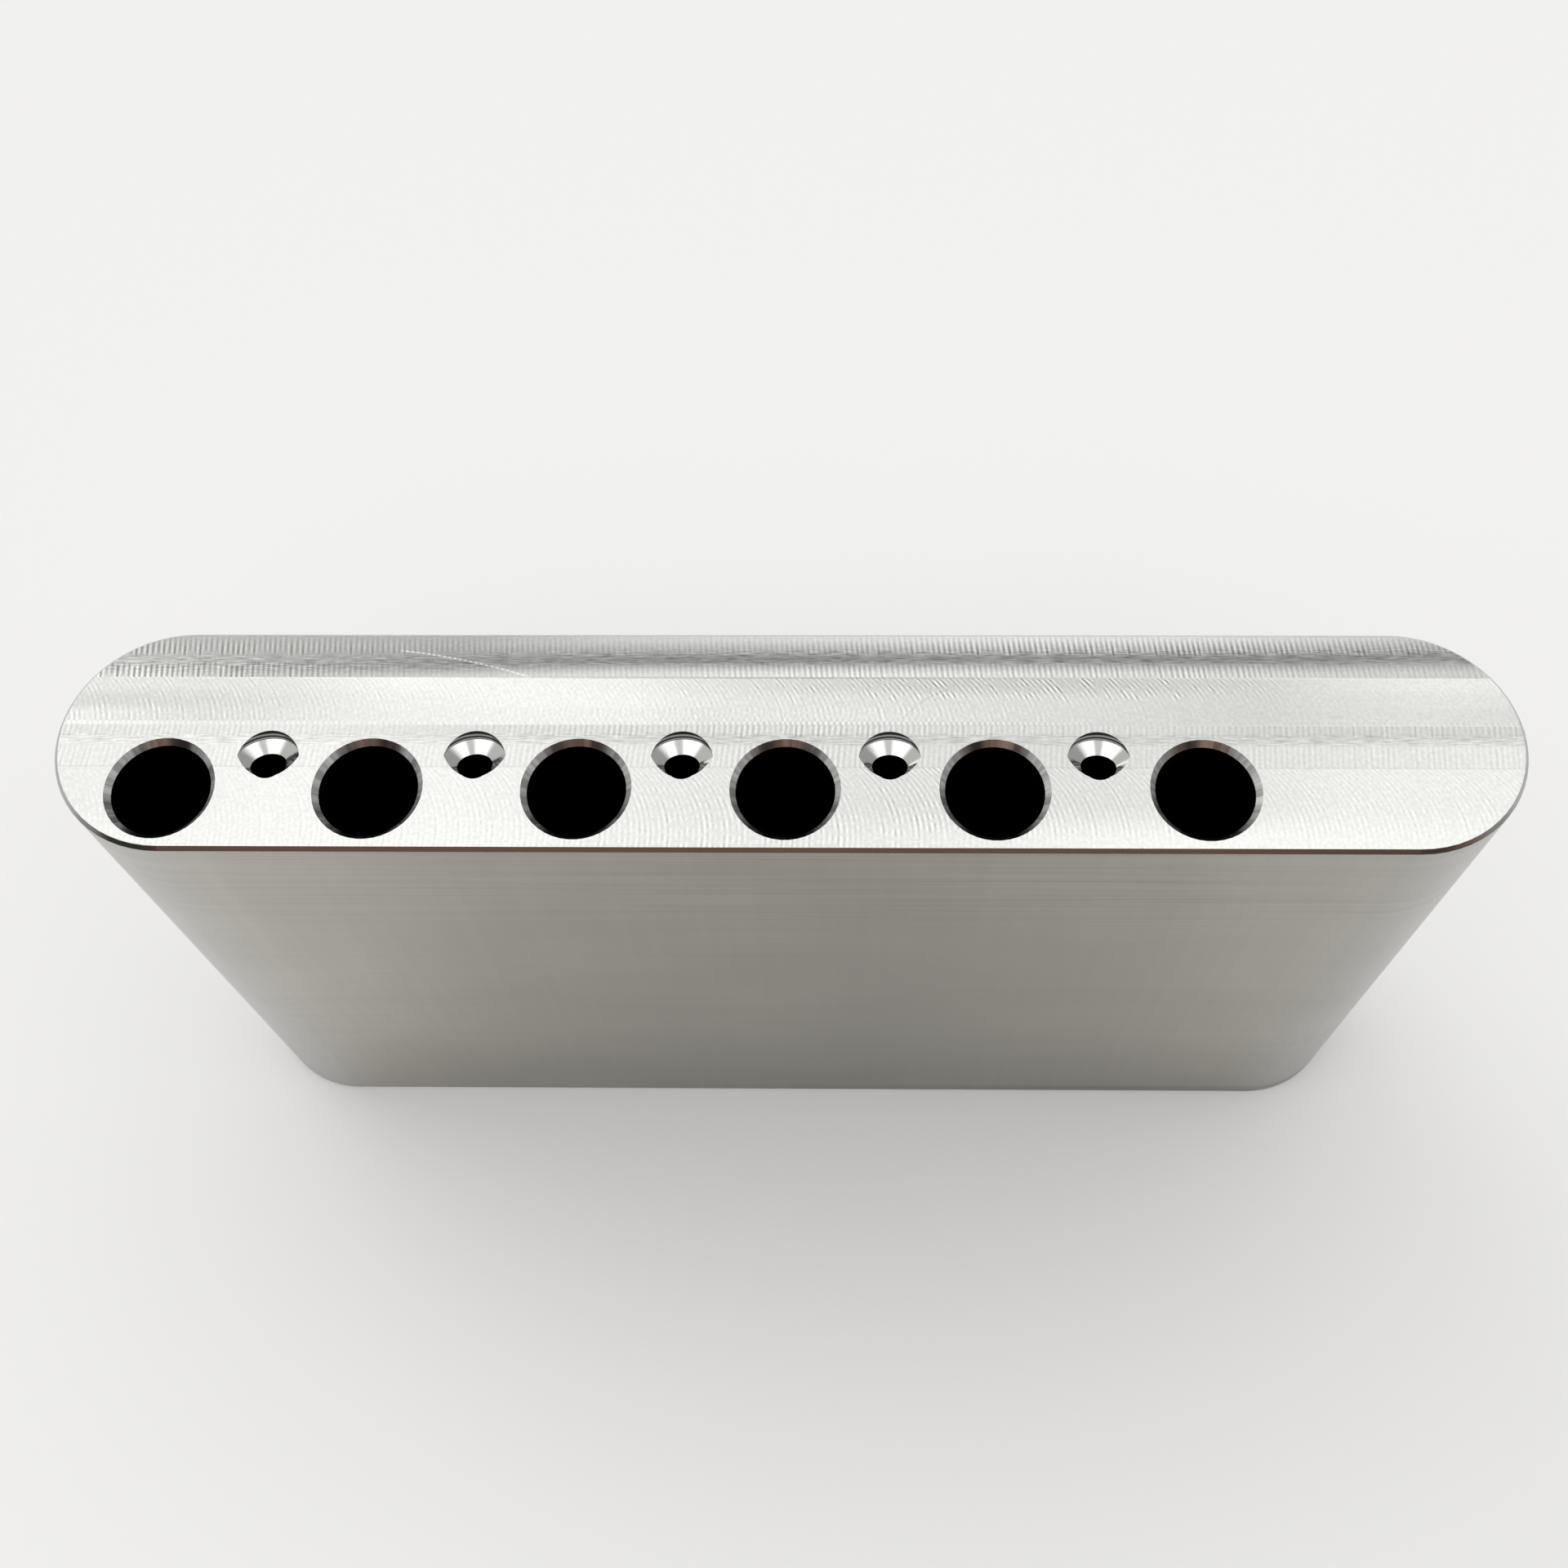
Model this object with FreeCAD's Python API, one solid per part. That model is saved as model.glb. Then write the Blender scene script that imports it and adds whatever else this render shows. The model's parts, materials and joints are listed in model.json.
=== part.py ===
import FreeCAD, Part

import math
import os

# Guitar tremolo block: one bar of aluminium, milled all over and drilled from both ends.
# Millimetres. X runs along the string row, Y from the string side (front) to the back, and Z
# from the plate end, which screws under the bridge plate, up to the spring end.
# The origin is the middle of the plate end.

# Bar
thickness = 12.4
height = 42.0
edge_chamfer = 0.2

# String row: one deep bore for each string's ball end, and a narrow exit through the plate end
string_count = 6
string_pitch = 10.5
first_string_past_round = 0.4
front_wall = 0.9
ball_bore_diameter = 5.0
ball_bore_chamfer = 0.3
ball_stop_height = 10.0
string_exit_diameter = 3.0
string_exit_chamfer = 0.2

# Spring row: between each two strings, a spot-drilled seat and a blind hole for a spring hook.
# Both lean down towards the front, so that the spring's pull keeps the hook in. The row is where
# their axes cross the spring end, and depths are measured from there along the axis.
spring_row_behind_strings = 1.5
spring_lean = 22.5
spring_seat_diameter = 3.2
spring_seat_depth = 0.3
spring_hole_diameter = 1.8
spring_hole_depth = 7.0

# Plate end: a tapped hole for the bridge plate in every second gap between strings, and one
# for the tremolo arm
plate_screw_diameter = 4.0
plate_screw_depth = 9.0
plate_screw_back_wall = 1.25
arm_diameter = 6.0
arm_depth = 18.0
arm_from_last_string = 10.2
thread_chamfer = 0.3

# Back relief: the last milling pass leans down to the back edge of the spring end
relief_width = 2.65
relief_drop = 0.1

# Drills
drill_point_angle = 118.0
overcut = 1.0

# What follows from those sizes
end_radius = thickness / 2
string_run = (string_count - 1) * string_pitch
length = end_radius - first_string_past_round + string_run + arm_from_last_string + end_radius
first_string_x = -length / 2 + end_radius - first_string_past_round
string_y = -thickness / 2 + front_wall + ball_bore_diameter / 2
spring_y = string_y + spring_row_behind_strings
plate_screw_y = thickness / 2 - plate_screw_back_wall - plate_screw_diameter / 2
arm_x = first_string_x + string_run + arm_from_last_string
string_xs = [first_string_x + i * string_pitch for i in range(string_count)]
gap_xs = [x + string_pitch / 2 for x in string_xs[:-1]]
plate_screw_xs = gap_xs[::2]


def point_length(radius, inner_radius=0.0):
    """How far a drill's point reaches while its radius falls to inner_radius."""
    return (radius - inner_radius) / math.tan(math.radians(drill_point_angle / 2))


def turned(profile):
    """A solid of revolution about Z from (radius, height) points."""
    points = [FreeCAD.Vector(radius, 0, z) for radius, z in profile + profile[:1]]
    face = Part.Face(Part.makePolygon(points))
    return face.revolve(FreeCAD.Vector(0, 0, 0), FreeCAD.Vector(0, 0, 1), 360)


def blind_hole(diameter, depth, chamfer):
    """The cut of a blind hole that goes up from Z 0: chamfered mouth, wall and drill point."""
    radius = diameter / 2
    wide = radius + chamfer
    return turned([(0, -overcut), (wide, -overcut), (wide, 0), (radius, chamfer),
                   (radius, depth), (0, depth + point_length(radius))])


def bar():
    """The milled bar: flat front and back, fully rounded ends, chamfered at both ends."""
    straight = length / 2 - end_radius
    corners = [FreeCAD.Vector(x, y, 0) for x, y in
               [(-straight, -end_radius), (straight, -end_radius),
                (straight, end_radius), (-straight, end_radius)]]
    right_tip = FreeCAD.Vector(length / 2, 0, 0)
    left_tip = FreeCAD.Vector(-length / 2, 0, 0)
    outline = Part.Wire([
        Part.LineSegment(corners[0], corners[1]).toShape(),
        Part.Arc(corners[1], right_tip, corners[2]).toShape(),
        Part.LineSegment(corners[2], corners[3]).toShape(),
        Part.Arc(corners[3], left_tip, corners[0]).toShape(),
    ])
    block = Part.Face(outline).extrude(FreeCAD.Vector(0, 0, height))
    rims = [edge for edge in block.Edges if edge.BoundBox.ZLength < edge_chamfer / 2]
    return block.makeChamfer(edge_chamfer, rims)


def back_relief():
    """The shallow wedge that the last pass takes off along the back of the spring end."""
    back, start = thickness / 2, thickness / 2 - relief_width
    slope = relief_drop / relief_width
    wedge = [(start, height), (back + overcut, height - slope * (relief_width + overcut)),
             (back + overcut, height + overcut), (start, height + overcut)]
    points = [FreeCAD.Vector(-length / 2 - overcut, y, z) for y, z in wedge + wedge[:1]]
    run = FreeCAD.Vector(length + 2 * overcut, 0, 0)
    return Part.Face(Part.makePolygon(points)).extrude(run)


def string_hole():
    """One string's way through: chamfered ball bore, drill-point stop and narrow exit."""
    bore, exit_radius = ball_bore_diameter / 2, string_exit_diameter / 2
    mouth, foot = bore + ball_bore_chamfer, exit_radius + string_exit_chamfer
    stop = ball_stop_height + point_length(bore, exit_radius)
    return turned([(0, -overcut), (foot, -overcut), (foot, 0), (exit_radius, string_exit_chamfer),
                   (exit_radius, ball_stop_height), (bore, stop),
                   (bore, height - ball_bore_chamfer), (mouth, height),
                   (mouth, height + overcut), (0, height + overcut)])


def spring_hole():
    """One spring hook's leaning hole: the spot drill's wall and point, then a blind hole."""
    seat, hook = spring_seat_diameter / 2, spring_hole_diameter / 2
    shoulder = point_length(seat, hook) - spring_seat_depth
    cut = turned([(0, seat + overcut), (seat, seat + overcut), (seat, shoulder),
                  (hook, -spring_seat_depth), (hook, -spring_hole_depth),
                  (0, -spring_hole_depth - point_length(hook))])
    cut.rotate(FreeCAD.Vector(0, 0, 0), FreeCAD.Vector(1, 0, 0), -spring_lean)
    cut.translate(FreeCAD.Vector(0, 0, height))
    return cut


def placed(cut, xs, y):
    """Copies of a cut, one at each X of a row."""
    copies = [cut.copy() for _ in xs]
    for copy, x in zip(copies, xs):
        copy.translate(FreeCAD.Vector(x, y, 0))
    return copies


def tremolo_block():
    """The whole block: the bar less every cut."""
    plate_screw = blind_hole(plate_screw_diameter, plate_screw_depth, thread_chamfer)
    arm = blind_hole(arm_diameter, arm_depth, thread_chamfer)
    cuts = [back_relief()]
    cuts += placed(string_hole(), string_xs, string_y)
    cuts += placed(spring_hole(), gap_xs, spring_y)
    cuts += placed(plate_screw, plate_screw_xs, plate_screw_y)
    cuts += placed(arm, [arm_x], 0)
    return bar().cut(cuts)


os.makedirs("parts", exist_ok=True)
block = tremolo_block()
block.Solids[0].exportStep("parts/tremolo_block.step")
print(f"length {length:.2f}, volume {block.Volume / 1000:.2f} cm3, solids {len(block.Solids)}")
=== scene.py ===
import json
import math

import bpy
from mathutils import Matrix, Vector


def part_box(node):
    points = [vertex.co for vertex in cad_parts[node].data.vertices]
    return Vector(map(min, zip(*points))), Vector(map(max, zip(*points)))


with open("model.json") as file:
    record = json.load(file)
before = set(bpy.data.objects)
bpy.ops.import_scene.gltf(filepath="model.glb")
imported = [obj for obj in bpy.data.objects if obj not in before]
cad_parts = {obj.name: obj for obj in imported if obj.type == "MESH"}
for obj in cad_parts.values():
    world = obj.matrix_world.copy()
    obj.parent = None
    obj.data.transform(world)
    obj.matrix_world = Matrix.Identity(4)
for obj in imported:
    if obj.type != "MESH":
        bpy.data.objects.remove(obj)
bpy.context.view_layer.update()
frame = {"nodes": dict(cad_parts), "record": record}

# ---- The block ------------------------------------------------------------------------------
# One bar of bare aluminium that hangs under a guitar's tremolo plate. It is sawn from plate,
# milled all over with small end mills, chamfered, and drilled from both ends: bores for the
# strings, short polished seats with fine holes for the spring hooks, and tapped holes below.

MM = 0.001
block = frame["nodes"]["tremolo_block"]
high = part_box("tremolo_block")[1]
half_length, height = high.x / MM, high.z / MM
mounts = {mount["name"]: mount for mount in frame["record"]["mounts"]}


class Field:
    """A value that varies over a surface: one shader socket, with Python's operators on it."""

    def __init__(self, tree, socket=None):
        self.tree, self.socket = tree, socket

    def node(self, kind, inputs, output=0, stops=(), **settings):
        """Adds a node: its settings and a ramp's stops, then what its sockets hold or take."""
        made = self.tree.nodes.new(kind)
        for name, value in settings.items():
            setattr(made, name, value)
        for _ in stops[2:]:
            made.color_ramp.elements.new(0.5)
        for index, (position, shade) in enumerate(stops):
            made.color_ramp.elements[index].position = position
            made.color_ramp.elements[index].color = (shade, shade, shade, 1.0)
        for key, value in inputs.items():
            if isinstance(value, Field):
                self.tree.links.new(value.socket, made.inputs[key])
            else:
                made.inputs[key].default_value = value
        return Field(self.tree, made.outputs[output] if made.outputs else None)

    def math(self, operation, other=0.0):
        return self.node("ShaderNodeMath", {0: self, 1: other}, operation=operation)

    def __add__(self, other):
        return self.math("ADD", other)

    def __mul__(self, other):
        return self.math("MULTIPLY", other)

    def __sub__(self, other):
        return self.math("SUBTRACT", other)

    def __rsub__(self, other):
        return self * -1.0 + other

    def __truediv__(self, other):
        return self.math("DIVIDE", other)

    __radd__, __rmul__ = __add__, __mul__

    def above(self, edge, soft=0.01):
        """1 where this is over the edge and 0 where it is under it."""
        span = {0: self, 1: edge - soft / 2, 2: edge + soft / 2}
        return self.node("ShaderNodeMapRange", span, interpolation_type="SMOOTHSTEP")

    def between(self, start, end, soft=0.01):
        return self.above(start, soft) - self.above(end, soft)

    def across(self, other):
        """The distance that this and another value make at right angles."""
        return (self * self + other * other).math("SQRT")

    def blend(self, other, mask):
        """This value where the mask is 0 and the other where it is 1."""
        return self.node("ShaderNodeMix", {0: mask, 2: self, 3: other})

    def tint(self, other, mask):
        """This colour where the mask is 0 and the other where it is 1."""
        return self.node("ShaderNodeMix", {0: mask, 6: self, 7: other}, output=2, data_type="RGBA")

    def from_row(self, first, pitch, count):
        """The distance along the block to the nearest of a row of holes."""
        nearest = ((self - first) / pitch).math("ROUND").math("MAXIMUM", 0.0)
        return self - nearest.math("MINIMUM", count - 1.0) * pitch - first

    def comb(self):
        """Teeth of even pitch: -1 at each whole number and 1 halfway to the next."""
        return self.math("PINGPONG", 0.5) * 4.0 - 1.0

    def lines(self, width):
        """Thin lines, one at each whole number, as wide as this share of their pitch."""
        return 1.0 - self.math("PINGPONG", 0.5).above(width / 2, width)

    def chance(self):
        """A number from 0 to 1 drawn for the whole number nearest to this."""
        whole = self.math("ROUND")
        return whole.node("ShaderNodeTexWhiteNoise", {"W": whole}, noise_dimensions="1D")

    def grain(self, other, detail=2.0):
        """Soft noise from -1 to 1 at a place given by this and another value."""
        spot = self.node("ShaderNodeCombineXYZ", {0: self, 1: other})
        noise = self.node("ShaderNodeTexNoise", {"Vector": spot, "Scale": 1.0, "Detail": detail},
                          noise_dimensions="2D")
        return noise * 2.0 - 1.0


metal = bpy.data.materials.new("milled_aluminium")
metal.use_nodes = True
metal.node_tree.nodes.clear()
blank = Field(metal.node_tree)
place = blank.node("ShaderNodeTexCoord", {}, output=3)
facing = blank.node("ShaderNodeTexCoord", {}, output=1)
x, y, z = [blank.node("ShaderNodeSeparateXYZ", {0: place}, output=axis) / MM for axis in range(3)]
up = blank.node("ShaderNodeSeparateXYZ", {0: facing}, output=2)
share = x / (2 * half_length) + 0.5


def along(*stops):
    """A value that changes along the block, from pairs of x and value."""
    ramp = [(stop / (2 * half_length) + 0.5, value) for stop, value in stops]
    return blank.node("ShaderNodeValToRGB", {0: share}, stops=ramp)


def arcs(radius, centre, way=1.0):
    """Counts the cutter's turns along the block: each turn cuts an arc of this radius."""
    reach = y - centre
    return (x * way - (radius * radius - reach * reach).math("MAXIMUM", 0.01).math("SQRT")) / feed


drift = blank.node("ShaderNodeTexNoise", {"W": x * 0.35, "Scale": 1.0, "Detail": 1.0},
                   noise_dimensions="1D") * 0.8
haze = (x * 1.6).grain(y * 2.6, detail=1.0)
drag = (x * 1.1).grain(y * 14.0, detail=1.0)
speckle = (x * 5.0).grain(y * 5.0, detail=1.0)

# The spring end is face milled in four passes along the block, all at one feed: each turn of
# the cutter leaves its mark this much further on. The pass along the back, the relief, leans
# down to the back edge. Its cutter chattered: two rows of teeth stand either side of a dull
# stripe that it rubbed. The tone ramps of all four passes and of the sides hold more than the
# metal's own tone: they also draw soft bands of reflected room that the plain light below
# doesn't give.
feed = 0.2815
relief_front = 3.55
relief = y.above(relief_front, 0.03)
stripe = y - along((-25, 0.42), (-19, 0.46), (-9, 0.72), (10, 0.80), (27, 0.82), (33, 0.92)) - 4.0
back_tone = along((-30, 0.345), (-22, 0.335), (-17, 0.335), (-9, 0.45), (0, 0.50), (10, 0.55),
                  (20, 0.55), (27, 0.51), (33, 0.48))
inner_tone = along((-34, 0.50), (-28, 0.41), (-19, 0.49), (-9, 0.54), (0, 0.575), (10, 0.545),
                   (20, 0.515), (27, 0.49), (33, 0.49))
stripe_tone = along((-34, 0.375), (-28, 0.315), (-24, 0.285), (-19, 0.24), (-9, 0.21),
                    (0, 0.195), (10, 0.22), (20, 0.205), (28, 0.21), (33, 0.24))
relief_tone = stripe_tone.blend(back_tone, stripe / 1.05)
relief_tone = relief_tone.blend(inner_tone, (stripe * -1.0).above(0.6, 1.0))
relief_tone = relief_tone * (1.0 + drag * (1.0 - stripe.math("ABSOLUTE").above(0.45, 0.5)) * 0.7)
teeth = (x + y * 0.1) / feed + drift
ragged = y + teeth.chance() * 0.3
teeth_marks = (ragged.between(5.2, 5.8, 0.3) + ragged.between(5.2, 6.1, 0.3)) * along(
    (-30, 0.21), (-19, 0.13), (-9, 0.06), (1, 0.09), (11, 0.24), (22, 0.23), (31, 0.17))
teeth_marks = teeth_marks + ragged.between(3.75, 4.5, 0.2) * along(
    (-34, 0.46), (-27, 0.38), (-19, 0.07), (-9, 0.09), (1, 0.26), (20, 0.31), (31, 0.12))
relief_tone = relief_tone * (1.0 + teeth.comb() * (teeth.chance() * 0.8 + 0.6) * teeth_marks)

# The second pass shows the cutter's turns as fine arcs, crossed by its back sweep mid way.
pass_middle = 0.8
second = y.between(pass_middle, relief_front, 0.03)
turns = arcs(4.4, 0.4) + drift
back_turns = arcs(4.4, 0.4, way=-1.0) - drift
turn_strength = along((-35, 0.11), (-29, 0.09), (-20, 0.03), (-9, 0.035), (0, 0.09), (12, 0.07),
                      (20, 0.03), (34, 0.01)) * y.above(1.02, 0.08)
turn_strength = turn_strength.blend(along(
    (-35, 0.07), (-28, 0.06), (-18, 0.045), (-9, 0.03), (0, 0.15), (11, 0.29), (20, 0.24),
    (26, 0.02), (36, 0.02)), y.above(2.4, 0.8))
turn_marks = turns.comb() * (turns.chance() * 1.2 + 0.4) * turn_strength * (haze * 2.5 + 1.0)
turn_marks = turn_marks + back_turns.comb() * back_turns.chance() * x.between(-16, 10, 9) * (
    1.0 - y.above(2.1, 0.8)) * 0.07
dots = x / feed + drift
dot_rows = y.between(0.8, 1.0, 0.06) * along(
    (-30, 0.16), (-14, 0.11), (-6, 0.26), (1, 0.46), (10, 0.40), (16, 0.05), (36, 0.10))
dot_rows = dot_rows + y.between(1.26, 1.42, 0.06) * x.between(-14, 9, 6) * 0.16
second_back = along((-35, 0.525), (-30, 0.53), (-26, 0.55), (-20, 0.655), (-13, 0.66), (-8, 0.63),
                    (-5, 0.57), (1, 0.50), (8, 0.455), (16, 0.45), (24, 0.48), (28, 0.555), (33, 0.625))
second_middle = along((-35, 0.47), (-30, 0.49), (-26, 0.53), (-21, 0.61), (-14, 0.66), (-8, 0.65),
                      (-3, 0.57), (3, 0.55), (16, 0.52), (24, 0.49), (28, 0.53), (33, 0.58))
second_front = along((-36, 0.56), (-30, 0.51), (-26, 0.545), (-20, 0.61), (-14, 0.635), (-8, 0.625),
                     (-4, 0.57), (4, 0.57), (12, 0.53), (24, 0.485), (32, 0.555), (36, 0.54))
second_tone = second_front.blend(second_middle, y.above(1.8, 0.6))
second_tone = second_tone.blend(second_back, y.above(2.7, 0.8)) * (1.0 + turn_marks)
second_tone = second_tone * (1.0 + (dot_rows * 0.5 - dots.lines(0.5) * dot_rows))
second_tone = second_tone * (1.0 + y.between(0.8, 1.0, 0.1) * x.between(-40, -24, 12) * 0.12)

# The third, narrow pass has two more rows of chatter, with a dragged streak between them.
pass_front = -1.6
third = y.between(pass_front, pass_middle, 0.03)
chatter = (x - y * 0.08) / feed + drift
ragged = y + chatter.chance() * 0.3
chatter_rows = ragged.between(0.4, 1.1, 0.15) * along(
    (-34, 0.10), (-18, 0.05), (-9, 0.16), (0, 0.24), (10, 0.16), (20, 0.09), (33, 0.14))
chatter_rows = chatter_rows + ragged.between(-1.5, -0.15, 0.4) * along(
    (-34, 0.06), (-10, 0.08), (1, 0.16), (14, 0.08), (24, 0.08), (34, 0.09))
third_back = along((-36, 0.52), (-24, 0.565), (-13, 0.52), (3, 0.515), (18, 0.51), (24, 0.47),
                   (36, 0.49))
third_front = along((-36, 0.56), (-24, 0.62), (-8, 0.585), (0, 0.545), (14, 0.52), (24, 0.55),
                    (36, 0.61))
third_tone = third_front.blend(third_back, y.above(-0.1, 0.9))
third_tone = third_tone * (1.0 + chatter.comb() * (chatter.chance() * 1.2 + 0.4) * chatter_rows)
third_tone = third_tone * (1.0 + y.between(-0.35, 0.3, 0.25) * (drag * 0.35 - along(
    (-30, 0.0), (-16, 0.03), (-3, 0.12), (14, 0.10), (34, 0.05))))

# The front pass is the widest and brightest. Its arcs show between the middle bores only.
front_turns = arcs(5.0, -5.4) + drift
front_marks = front_turns.comb() * (front_turns.chance() * 1.2 + 0.4) * along(
    (-28, 0.02), (-18, 0.04), (-9, 0.07), (0, 0.09), (8, 0.13), (14, 0.10), (22, 0.05))
front_marks = front_marks * (1.0 - (1.0 - y.above(-5.3, 0.5)) * x.above(4, 8) * 0.8)
front_marks = front_marks * (haze * 2.0 + 1.0) * (1.3 - y.above(-3.2, 2.0) * 0.3)
front_back = along((-36, 0.575), (-33, 0.585), (-26, 0.635), (-16, 0.64), (-5, 0.58), (5, 0.545),
                   (16, 0.545), (24, 0.585), (28, 0.625), (36, 0.64))
front_edge = along((-31, 0.625), (-24, 0.655), (-14, 0.665), (-8, 0.62), (0, 0.60), (8, 0.635),
                   (16, 0.675), (21, 0.695), (31, 0.68))
front_tone = front_edge.blend(front_back, y.above(-4.6, 2.2)) * (1.0 + front_marks)

# Fine steps between the passes catch the light as lines, bright or dark. They are drawn in tone
# only: the surface under them is flat.
spring_end = front_tone.blend(third_tone, third).blend(second_tone, second)
spring_end = spring_end.blend(relief_tone, relief)
step_lines = y.between(relief_front - 0.06, relief_front + 0.05, 0.06) * (along(
    (-34, 0.54), (-28, 0.56), (-19, 0.50), (-9, 0.30), (0, 0.20), (10, 0.36), (18, 0.50),
    (27, 0.60), (35, 0.52)) - 0.5)
step_lines = step_lines + y.between(pass_middle - 0.04, pass_middle + 0.04, 0.06) * (along(
    (-34, 0.54), (-19, 0.53), (-9, 0.50), (0, 0.42), (12, 0.44), (18, 0.51), (27, 0.58)) - 0.5)
step_lines = step_lines - y.between(pass_front - 0.04, pass_front + 0.04, 0.06) * 0.10
spring_end = spring_end * (1.0 + step_lines + haze * 0.03 + speckle * 0.11)

# Handling marks on the spring end: a trail of nicks over the relief and a dotted scratch.
trail = y + (x + 19.0) * 0.16 + (x + 19.0) * (x + 19.0) * 0.0165
nicks = trail.between(4.96, 5.05, 0.06) * x.between(-20.2, -13.5, 0.6) * (x / 0.28).lines(0.6)
scrape = y - (x - 5.84) * 1.12 + (x - 5.84) * (x - 5.84) * 0.17
scratch = scrape.between(1.12, 1.19, 0.05) * x.between(5.84, 8.2, 0.2) * (x / 0.19).lines(0.7)
spring_end = spring_end + nicks * 0.3 - scratch * 0.12

# The sides are milled with the side of a long end mill. It leaves level lines, strongest near
# the spring end, faint upright feed marks, and cloudy patches where coolant dried. Painted shade
# darkens the lower sides, and the foot more towards the right, where the sides reflect the table
# in the block's shadow.
level = (x * 0.035 + y * 0.06).grain(z * 1.5, detail=2.0)
scores = (x * 0.05 + y * 0.06).grain(z * 7.0, detail=1.0).above(0.30, 0.5)
feed_lines = (x * 1.5).grain(y * 1.5 + z * 0.02, detail=1.0)
cloud = (x * 0.09).grain(z * 0.16 + y * 0.1, detail=1.0)
near_top = z.above(33, 6)
side_tone = along((-36, 0.54), (-31, 0.495), (-28, 0.45), (-24, 0.42), (-16, 0.38), (-6, 0.36),
                  (5, 0.35), (12, 0.365), (20, 0.385), (28, 0.42), (31.5, 0.46), (36, 0.52))
# Painted shade: the sides darken towards the foot, where they reflect the shadowed table.
side_tone = side_tone * (0.84 + z.above(8, 16) * 0.16)
side_tone = side_tone * (1.0 + level * (0.04 + near_top * 0.06) - scores * (0.03 + near_top * 0.11))
side_tone = side_tone * (1.0 + feed_lines * 0.03 + cloud * 0.05)
# Painted contact shade along the foot, darker towards the right.
painted_foot_shade = 1.0 - z.above(1.2, 1.0)
side_tone = side_tone * (1.0 - painted_foot_shade * x.above(4, 40) * 0.25)

# The plate end is milled in one way of passes like the spring end, but isn't polished.
plate_turns = arcs(6.5, 0.0) * 0.6 + drift
plate_tone = plate_turns.lines(0.5) * (plate_turns.chance() - 0.5) * 0.12 + haze * 0.03 + 0.72

# The string bores have a chamfer that the countersink cut in narrow facets. Inside, a bore is
# painted nearly black, as painted shade of the deep hole.
string_bores = [mounts[name] for name in sorted(mounts) if name.startswith("string_bore_")]
string_x, string_y = [place_m / MM for place_m in string_bores[0]["pos_m"][:2]]
string_pitch = string_bores[1]["pos_m"][0] / MM - string_x
bore_radius, bore_chamfer = string_bores[0]["dims"]["r_mm"], 0.3
from_string = x.from_row(string_x, string_pitch, len(string_bores))
to_string = from_string.across(y - string_y)
turned = from_string.math("ARCTAN2", y - string_y)
facets = turned * 6.0 + x * 0.1
sloping = up.between(0.6, 0.8)
in_spring_half = z.above(height / 2)
bore_rim = sloping * in_spring_half * (1.0 - to_string.above(bore_radius + bore_chamfer + 0.05))
facet_tone = (facets.chance() - 0.5) * 0.5 + ((facets * 2.3).chance() - 0.5) * 0.3
# The front half of each chamfer is drawn darker: painted shade where it looks into the bore.
rim_tone = (facet_tone * 0.8 + 0.62) * (1.0 - (1.0 - y.above(string_y - 0.5, 1.6)) * 0.4)
in_bore = (1.0 - to_string.above(bore_radius + 0.02)) * z.between(0.2, height - bore_chamfer + 0.01)
# Painted shade: the deep bore's walls are drawn nearly black.
painted_bore_shade = 0.012

# Each spring seat leans, as its spot drill did. The drill polished the cone, and left rings on
# the short wall at the back; the wall's dark tones between them are painted shade. The hook's
# hole starts at the cone's foot, and is painted nearly black as painted shade. The rings are
# pairs of a reach up the seat's axis and a tone.
spring_holes = [mounts[name] for name in sorted(mounts) if name.startswith("spring_hole_")]
spring_x, spring_y, spring_z = [place_m / MM for place_m in spring_holes[0]["pos_m"]]
lean_y, lean_z = spring_holes[0]["axis"][1:]
hook_length = spring_holes[0]["dims"]["length_mm"]
seat_radius, seat_reach = 1.6, 1.1
out = (y - spring_y) * lean_y + (z - spring_z) * lean_z - hook_length / 2
over = (y - spring_y) * lean_z - (z - spring_z) * lean_y
to_spring = x.from_row(spring_x, string_pitch, len(spring_holes)).across(over)
at_spring_end = up.above(0.9) * z.above(height - 0.12)
in_seat = (1.0 - to_spring.above(seat_radius + 0.03)) * (1.0 - at_spring_end) * out.above(-8.0)
rings_and_shade = [(0.0, 0.02), (0.06, 0.02), (0.09, 0.70), (0.54, 0.70), (0.59, 0.6), (0.61, 0.3),
         (0.65, 0.03), (0.71, 0.03), (0.76, 0.60), (0.80, 0.60), (0.86, 0.04), (0.94, 0.02)]
seat_tone = blank.node("ShaderNodeValToRGB", {0: out / seat_reach},
                       stops=[(reach / seat_reach, shade) for reach, shade in rings_and_shade])

seat_wall = in_seat * out.above(0.54, 0.04)

# The seats' right flanks are darkened in the material. It stands in for a dark part of a room
# there, where the window of the light below would shine.
spin = x.from_row(spring_x, string_pitch, len(spring_holes)).math("ARCTAN2", over)
painted_flank_shade = (spin - x * 0.012).above(0.70, 0.25) * (1.0 - spin.above(1.45, 0.2))
seat_tone = seat_tone * (1.0 - painted_flank_shade * 0.55)

tone = side_tone.blend(spring_end, at_spring_end).blend(plate_tone, 1.0 - up.above(-0.9))
edge_tone = 0.46
tone = tone.blend(edge_tone, sloping).blend(rim_tone, bore_rim)
tone = tone.blend(seat_tone, in_seat).blend(painted_bore_shade, in_bore)

side_colour = blank.node("ShaderNodeCombineXYZ", {0: 1.0, 1: 0.968, 2: 0.862})
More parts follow.
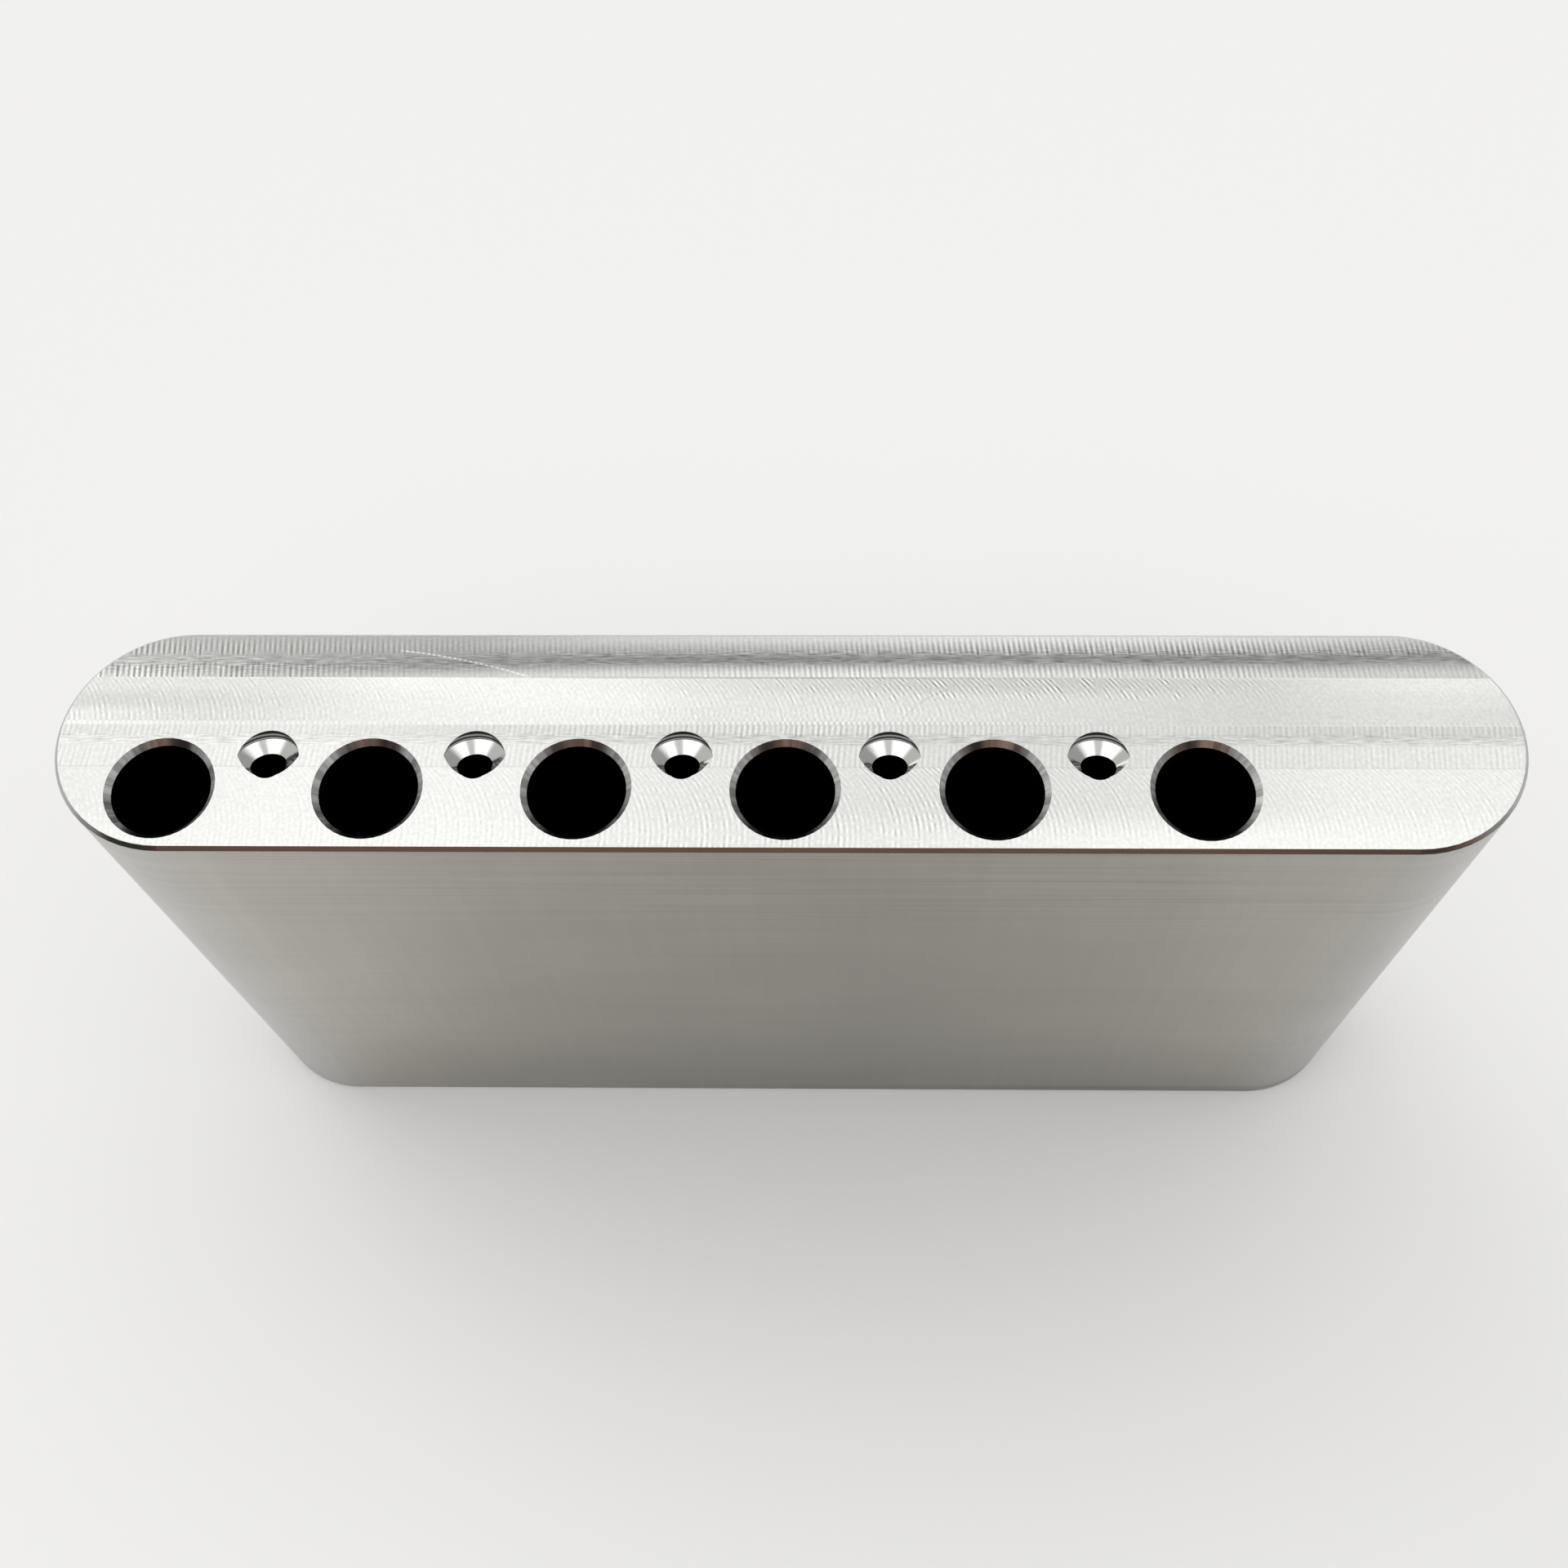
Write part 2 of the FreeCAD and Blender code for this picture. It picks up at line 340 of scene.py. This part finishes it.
# The round ends are tinted less warm: painted reflection of the pale table beside them.
side_colour = side_colour.tint((1.0, 0.985, 0.93, 1.0), x.math("ABSOLUTE").above(31, 5))
tinted = side_colour.tint((0.995, 1.0, 0.962, 1.0), at_spring_end + in_seat + bore_rim)
colour = tinted.node("ShaderNodeVectorMath", {0: tinted, 3: tone}, operation="SCALE")
side_roughness, chamfer_roughness, rim_side_roughness, seat_roughness = 0.36, 0.18, 0.42, 0.12
rim_side = bore_rim * (from_string.math("ABSOLUTE") / bore_radius).above(0.6, 0.6)
roughness = side_roughness - at_spring_end * 0.10
roughness = roughness.blend(chamfer_roughness, sloping).blend(rim_side_roughness, rim_side)
roughness = roughness.blend(seat_roughness, in_seat)
shine = blank.node("ShaderNodeBsdfPrincipled", {
    "Base Color": colour, "Metallic": 1.0 - seat_wall * 0.85,
    "Roughness": roughness.blend(0.8, seat_wall)})
blank.node("ShaderNodeOutputMaterial", {0: shine})
block.data.materials.clear()
block.data.materials.append(metal)

# ---- The table --------------------------------------------------------------------------------
# A plain pale table top that the block stands on.
reach = 3.0
corners = [(-reach, -reach, 0), (reach, -reach, 0), (reach, reach, 0), (-reach, reach, 0)]
table_mesh = bpy.data.meshes.new("table_top")
table_mesh.from_pydata(corners, [], [(0, 1, 2, 3)])
table = bpy.data.objects.new("table_top", table_mesh)
bpy.context.scene.collection.objects.link(table)
paint = bpy.data.materials.new("pale_table")
paint.use_nodes = True
paint.node_tree.nodes.clear()
blank = Field(paint.node_tree)
matt = blank.node("ShaderNodeBsdfDiffuse", {0: (0.9, 0.9, 0.895, 1)})
blank.node("ShaderNodeOutputMaterial", {0: matt})
table_mesh.materials.append(paint)

# ---- Light ------------------------------------------------------------------------------------
# A pale room lit from above and from a window at the back left, dimmer and browner to the front.
room = bpy.data.worlds.new("pale_room")
bpy.context.scene.world = room
room.use_nodes = True
room.node_tree.nodes.clear()
blank = Field(room.node_tree)
way = blank.node("ShaderNodeTexCoord", {}, output=0)


def towards(azimuth, elevation):
    """How straight a ray goes towards a point of the room, 1 at the point itself."""
    a, e = math.radians(azimuth), math.radians(elevation)
    there = (math.sin(a) * math.cos(e), math.cos(a) * math.cos(e), math.sin(e))
    return way.node("ShaderNodeVectorMath", {0: way, 1: there}, output=1, operation="DOT_PRODUCT")


rise = towards(0, 90)
ceiling = rise.above(0.70, 0.28)
window = towards(-50, 24).above(math.cos(math.radians(26)), 0.16)
lamp = towards(20, 79).above(math.cos(math.radians(8)), 0.01)
light = ceiling * 1.08 + window * 1.0 - lamp * 0.75 + 0.42
grey = blank.node("ShaderNodeCombineXYZ", {0: light, 1: light, 2: light})
front = towards(180, 0).above(0.5, 0.3) * (1.0 - rise.above(0.62, 0.14))
person = towards(-137, 15).above(0.95, 0.06) + towards(145, 32).above(0.96, 0.05)
dim = grey.tint((0.24, 0.15, 0.122, 1), front).tint((0.04, 0.035, 0.035, 1), person)
seen = dim.tint((0.9, 0.9, 0.895, 1), blank.node("ShaderNodeLightPath", {}, output=0))
glow = blank.node("ShaderNodeBackground", {0: seen, 1: 1.0})
blank.node("ShaderNodeOutputWorld", {0: glow})

# ---- Camera -----------------------------------------------------------------------------------
# It stands close in front of the block and above it, and looks down on the spring end.
camera_data = bpy.data.cameras.new("camera")
camera = bpy.data.objects.new("camera", camera_data)
bpy.context.scene.collection.objects.link(camera)
camera_data.sensor_width = 36
camera_data.lens = 40.657
camera_data.shift_x, camera_data.shift_y = -0.01772, -0.01125
camera_data.clip_start, camera_data.clip_end = 0.005, 10
camera.location = (0.002697, -0.040922, 0.121887)
camera.rotation_euler = [math.radians(angle) for angle in (26.2453, 0.7713, 0.5138)]
bpy.context.scene.camera = camera
bpy.context.scene.view_settings.view_transform = "Standard"
